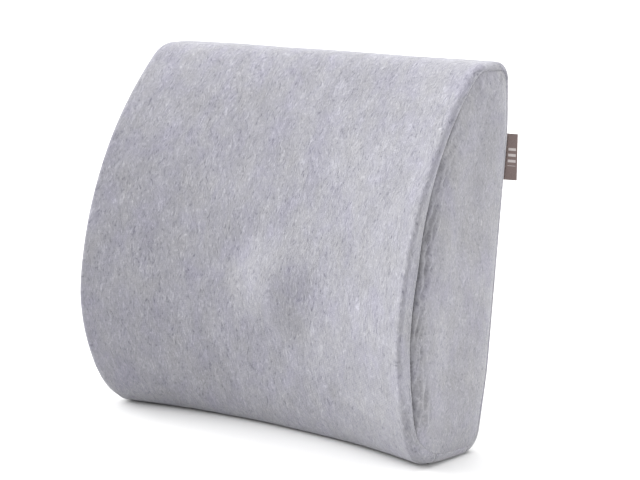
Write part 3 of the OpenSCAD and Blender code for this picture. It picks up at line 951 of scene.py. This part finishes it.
def simple_material(name, base, rough=0.8, spread=0.12, scale=900.0, bump=0.25, dist=0.0003, metallic=0.0,
                    sheen=0.0, spec=0.3, coords="Object", stretch=(1, 1, 1)):
    """A plain stuff with fine mottling, uneven roughness and relief."""
    mat, nt, b = new_mat(name)
    tc = node(nt, "ShaderNodeTexCoord")
    vec = tc.outputs[coords]
    n1 = noise_node(nt, vec, tuple(scale * k for k in stretch), 3.0, 0.6)
    n2 = noise_node(nt, vec, tuple(scale * 0.12 * k for k in stretch), 2.0, 0.5, 0, (3, 1, 2))
    mix = mixf(nt, "ADD", mixf(nt, "MULTIPLY", n1, 0.65), mixf(nt, "MULTIPLY", n2, 0.35))
    lo_, hi_ = 1 - spread, 1 + spread
    nt.links.new(ramp(nt, mix, [(0.32, tuple(c * lo_ for c in base) + (1,)), (0.68, tuple(c * hi_ for c in base) + (1,))]),
                 b.inputs["Base Color"])
    r_ = node(nt, "ShaderNodeMapRange")
    nt.links.new(n2, r_.inputs[0])
    r_.inputs[1].default_value, r_.inputs[2].default_value = 0.3, 0.7
    r_.inputs[3].default_value, r_.inputs[4].default_value = max(rough - 0.06, 0.05), min(rough + 0.06, 1.0)
    nt.links.new(r_.outputs[0], b.inputs["Roughness"])
    bp = node(nt, "ShaderNodeBump")
    bp.inputs["Strength"].default_value = bump
    bp.inputs["Distance"].default_value = dist
    nt.links.new(n1, bp.inputs["Height"])
    nt.links.new(bp.outputs[0], b.inputs["Normal"])
    b.inputs["Metallic"].default_value = metallic
    b.inputs["Specular IOR Level"].default_value = spec
    b.inputs["Sheen Weight"].default_value = sheen
    return mat


def foam_material():
    mat, nt, b = new_mat("moulded_foam")
    tc = node(nt, "ShaderNodeTexCoord")
    vo = node(nt, "ShaderNodeTexVoronoi")
    vo.inputs["Scale"].default_value = 900.0
    nt.links.new(tc.outputs["Object"], vo.inputs["Vector"])
    n1 = noise_node(nt, tc.outputs["Object"], (60, 60, 60), 3.0)
    mix = mixf(nt, "ADD", mixf(nt, "MULTIPLY", vo.outputs["Distance"], 0.5), mixf(nt, "MULTIPLY", n1, 0.5))
    nt.links.new(ramp(nt, mix, [(0.25, (0.62, 0.55, 0.38, 1)), (0.6, (0.82, 0.77, 0.60, 1))]), b.inputs["Base Color"])
    bp = node(nt, "ShaderNodeBump")
    bp.inputs["Strength"].default_value = 0.5
    bp.inputs["Distance"].default_value = 0.0005
    nt.links.new(vo.outputs["Distance"], bp.inputs["Height"])
    nt.links.new(bp.outputs[0], b.inputs["Normal"])
    b.inputs["Roughness"].default_value = 0.95
    return mat


def weave_material(name, base, pitch_u, pitch_v, accent=None, strength=0.6, use_attr=True):
    """A plain weave of two thread sets, in the piece's own cloth coordinates or the object's."""
    mat, nt, b = new_mat(name)
    if use_attr:
        vec = node(nt, "ShaderNodeAttribute", attribute_name="knit").outputs["Vector"]
    else:
        vec = node(nt, "ShaderNodeTexCoord").outputs["Object"]
    sep = node(nt, "ShaderNodeSeparateXYZ")
    nt.links.new(vec, sep.inputs[0])
    u, v = sep.outputs[0], sep.outputs[1 if use_attr else 2]
    su = mixf(nt, "SINE", mixf(nt, "MULTIPLY", u, 2 * math.pi / pitch_u), 0)
    sv = mixf(nt, "SINE", mixf(nt, "MULTIPLY", v, 2 * math.pi / pitch_v), 0)
    w = mixf(nt, "MULTIPLY", su, sv)
    h = mixf(nt, "ADD", mixf(nt, "MULTIPLY", w, 0.5), 0.5)
    n1 = noise_node(nt, vec, (1600, 1600, 1600), 2.0)
    f = mixf(nt, "ADD", mixf(nt, "MULTIPLY", h, 0.55), mixf(nt, "MULTIPLY", n1, 0.45))
    col = ramp(nt, f, [(0.2, tuple(c * 0.62 for c in base) + (1,)), (0.8, tuple(min(1, c * 1.30) for c in base) + (1,))])
    if accent:
        # a plain woven bar block in the middle of the band
        (u0, u1, v0, v1, acc_col, bar) = accent
        inside = None
        for val, lo_, hi_ in ((u, u0, u1), (v, v0, v1)):
            a1 = mixf(nt, "GREATER_THAN", val, lo_)
            a2 = mixf(nt, "LESS_THAN", val, hi_)
            g_ = mixf(nt, "MULTIPLY", a1, a2)
            inside = g_ if inside is None else mixf(nt, "MULTIPLY", inside, g_)
        bars = mixf(nt, "GREATER_THAN", mixf(nt, "SINE", mixf(nt, "MULTIPLY", v, 2 * math.pi / bar), 0), 0.15)
        fac = mixf(nt, "MULTIPLY", inside, bars)
        mx = node(nt, "ShaderNodeMix", data_type="RGBA")
        nt.links.new(fac, mx.inputs["Factor"])
        nt.links.new(col, mx.inputs[6])
        acn = ramp(nt, f, [(0.2, tuple(c * 0.75 for c in acc_col) + (1,)), (0.8, tuple(acc_col) + (1,))])
        nt.links.new(acn, mx.inputs[7])
        col = mx.outputs[2]
    nt.links.new(col, b.inputs["Base Color"])
    bp = node(nt, "ShaderNodeBump")
    bp.inputs["Strength"].default_value = strength
    bp.inputs["Distance"].default_value = 0.0003
    nt.links.new(f, bp.inputs["Height"])
    nt.links.new(bp.outputs[0], b.inputs["Normal"])
    b.inputs["Roughness"].default_value = 0.85
    b.inputs["Specular IOR Level"].default_value = 0.2
    b.inputs["Sheen Weight"].default_value = 0.2
    return mat


KNIT = knit_material("heather_knit", contrast=1.40)
KNIT_SIDE = knit_material("heather_knit_side", base=(0.262, 0.260, 0.282), contrast=1.15, seed=5.3, streak=(420, 190, 900, 420), relief_amt=0.55)
for o, mt in ((front_cover, KNIT), (back_upper, KNIT_SIDE), (back_lower, KNIT_SIDE), (base_cover, KNIT_SIDE),
              (side_right, KNIT_SIDE), (side_left, KNIT_SIDE)):
    o.data.materials.append(mt)
    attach(o, "cushion")
THREAD = simple_material("seam_thread", (0.085, 0.085, 0.095), 0.85, 0.25, 2500, 0.4, sheen=0.2, spec=0.2)
ZTHREAD = simple_material("zip_thread", (0.34, 0.34, 0.37), 0.8, 0.18, 2500, 0.4, sheen=0.2, spec=0.2)
TAPE = weave_material("zip_tape", (0.17, 0.17, 0.185), 0.0009, 0.0009, strength=0.5, use_attr=False)
COIL = simple_material("zip_coil", (0.15, 0.15, 0.165), 0.38, 0.10, 1500, 0.1, spec=0.5)
METAL = simple_material("zip_metal", (0.46, 0.46, 0.47), 0.30, 0.07, 700, 0.08, 0.0001, metallic=1.0, stretch=(0.2, 1, 1))
SLEEVE = weave_material("liner_knit", (0.80, 0.80, 0.79), 0.0011, 0.0013, strength=0.5)
LABEL = weave_material("label_weave", (0.155, 0.118, 0.112), 0.00075, 0.00060, accent=(0.0048, 0.0104, 0.0115, 0.0262, (0.47, 0.43, 0.42), 0.0048))
LTHREAD = simple_material("label_thread", (0.060, 0.050, 0.050), 0.8, 0.2, 2500, 0.4, sheen=0.2, spec=0.2)
FOAM = foam_material()


def dress(o, mat, body="cushion"):
    o.data.materials.clear()
    o.data.materials.append(mat)
    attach(o, body)


dress(foam, FOAM)
dress(sleeve, SLEEVE)
for nm, o in side_seams.items():
    dress(o, THREAD)
dress(top_seam, THREAD)
dress(foot_seam, THREAD)
dress(zip_stitches, ZTHREAD)
dress(coil_up, COIL)
dress(coil_lo, COIL)
dress(label_piece, LABEL)
dress(label_thread, LTHREAD)
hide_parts("foam_core")
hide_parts("inner_liner")
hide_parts("front_panel")
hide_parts("back_panel_upper")
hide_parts("back_panel_lower")
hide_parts("base_panel")
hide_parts("side_panel_right")
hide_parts("side_panel_left")
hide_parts("side_seam_right")
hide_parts("side_seam_left")
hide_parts("top_rear_seam")
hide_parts("base_front_seam")
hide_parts("zip_teeth_upper")
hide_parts("zip_teeth_lower")
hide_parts("label")
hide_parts("label_stitching")
# what stays of the CAD: tapes, slider, pull and stops
for nm, mt, bev in (("zip_tape_upper", TAPE, 0.0), ("zip_tape_lower", TAPE, 0.0), ("zip_slider", METAL, 0.00028),
                    ("zip_pull", METAL, 0.00030), ("zip_top_stops", METAL, 0.00030), ("zip_bottom_stop", METAL, 0.00035)):
    o = NODES[nm]
    o.data.materials.clear()
    o.data.materials.append(mt)
    if bev:
        md = o.modifiers.new("rounded edges", "BEVEL")
        md.width = bev
        md.segments = 3
        md.limit_method = "ANGLE"
        md.angle_limit = math.radians(35)

# ---------------------------------------------------------------------------
# Camera, lights, floor
# ---------------------------------------------------------------------------
cam_d = bpy.data.cameras.new("camera")
cam = bpy.data.objects.new("camera", cam_d)
bpy.context.scene.collection.objects.link(cam)
cam.location = (1.07945, -1.33504 + Y0 * MM, 0.46727)
cam.rotation_mode = "QUATERNION"
cam.rotation_quaternion = Vector((-0.61660, 0.76692, -0.17786)).to_track_quat("-Z", "Y")
cam_d.lens = 113.0
cam_d.sensor_width = 36.0
cam_d.clip_end = 50
bpy.context.scene.camera = cam

scene = bpy.context.scene
scene.view_settings.view_transform = "Standard"
world = bpy.data.worlds.new("world")
scene.world = world
world.use_nodes = True
bg = world.node_tree.nodes["Background"]
bg.inputs[0].default_value = (1, 1, 1, 1)
bg.inputs[1].default_value = 1.0


def sun(name, toward, strength, spread):
    """A broad, even lamp: toward is the direction that it is seen in."""
    d = bpy.data.lights.new(name, "SUN")
    d.energy = strength * math.pi
    d.angle = math.radians(spread)
    o = bpy.data.objects.new(name, d)
    scene.collection.objects.link(o)
    o.rotation_mode = "QUATERNION"
    o.rotation_quaternion = (-Vector(toward)).to_track_quat("-Z", "Y")
    return o


sun("key", (-0.79, -0.33, 0.60), 1.35, 50)
sun("fill", (0.95, 0.25, 0.12), 0.50, 50)
sun("top", (0.0, 0.46, 0.88), 0.72, 40)

floor = make_mesh("floor", [(-8, -8, 0), (8, -8, 0), (8, 8, 0), (-8, 8, 0)], [(0, 1, 2, 3)], smooth=False)
floor.location.z = -0.0002
fm, fnt, fb = new_mat("floor")
fn = noise_node(fnt, node(fnt, "ShaderNodeTexCoord").outputs["Object"], (1.5, 1.5, 1.5), 2)
fnt.links.new(ramp(fnt, fn, [(0.3, (0.68, 0.68, 0.68, 1)), (0.7, (0.70, 0.70, 0.70, 1))]), fb.inputs["Base Color"])
fb.inputs["Roughness"].default_value = 0.9
floor.data.materials.append(fm)
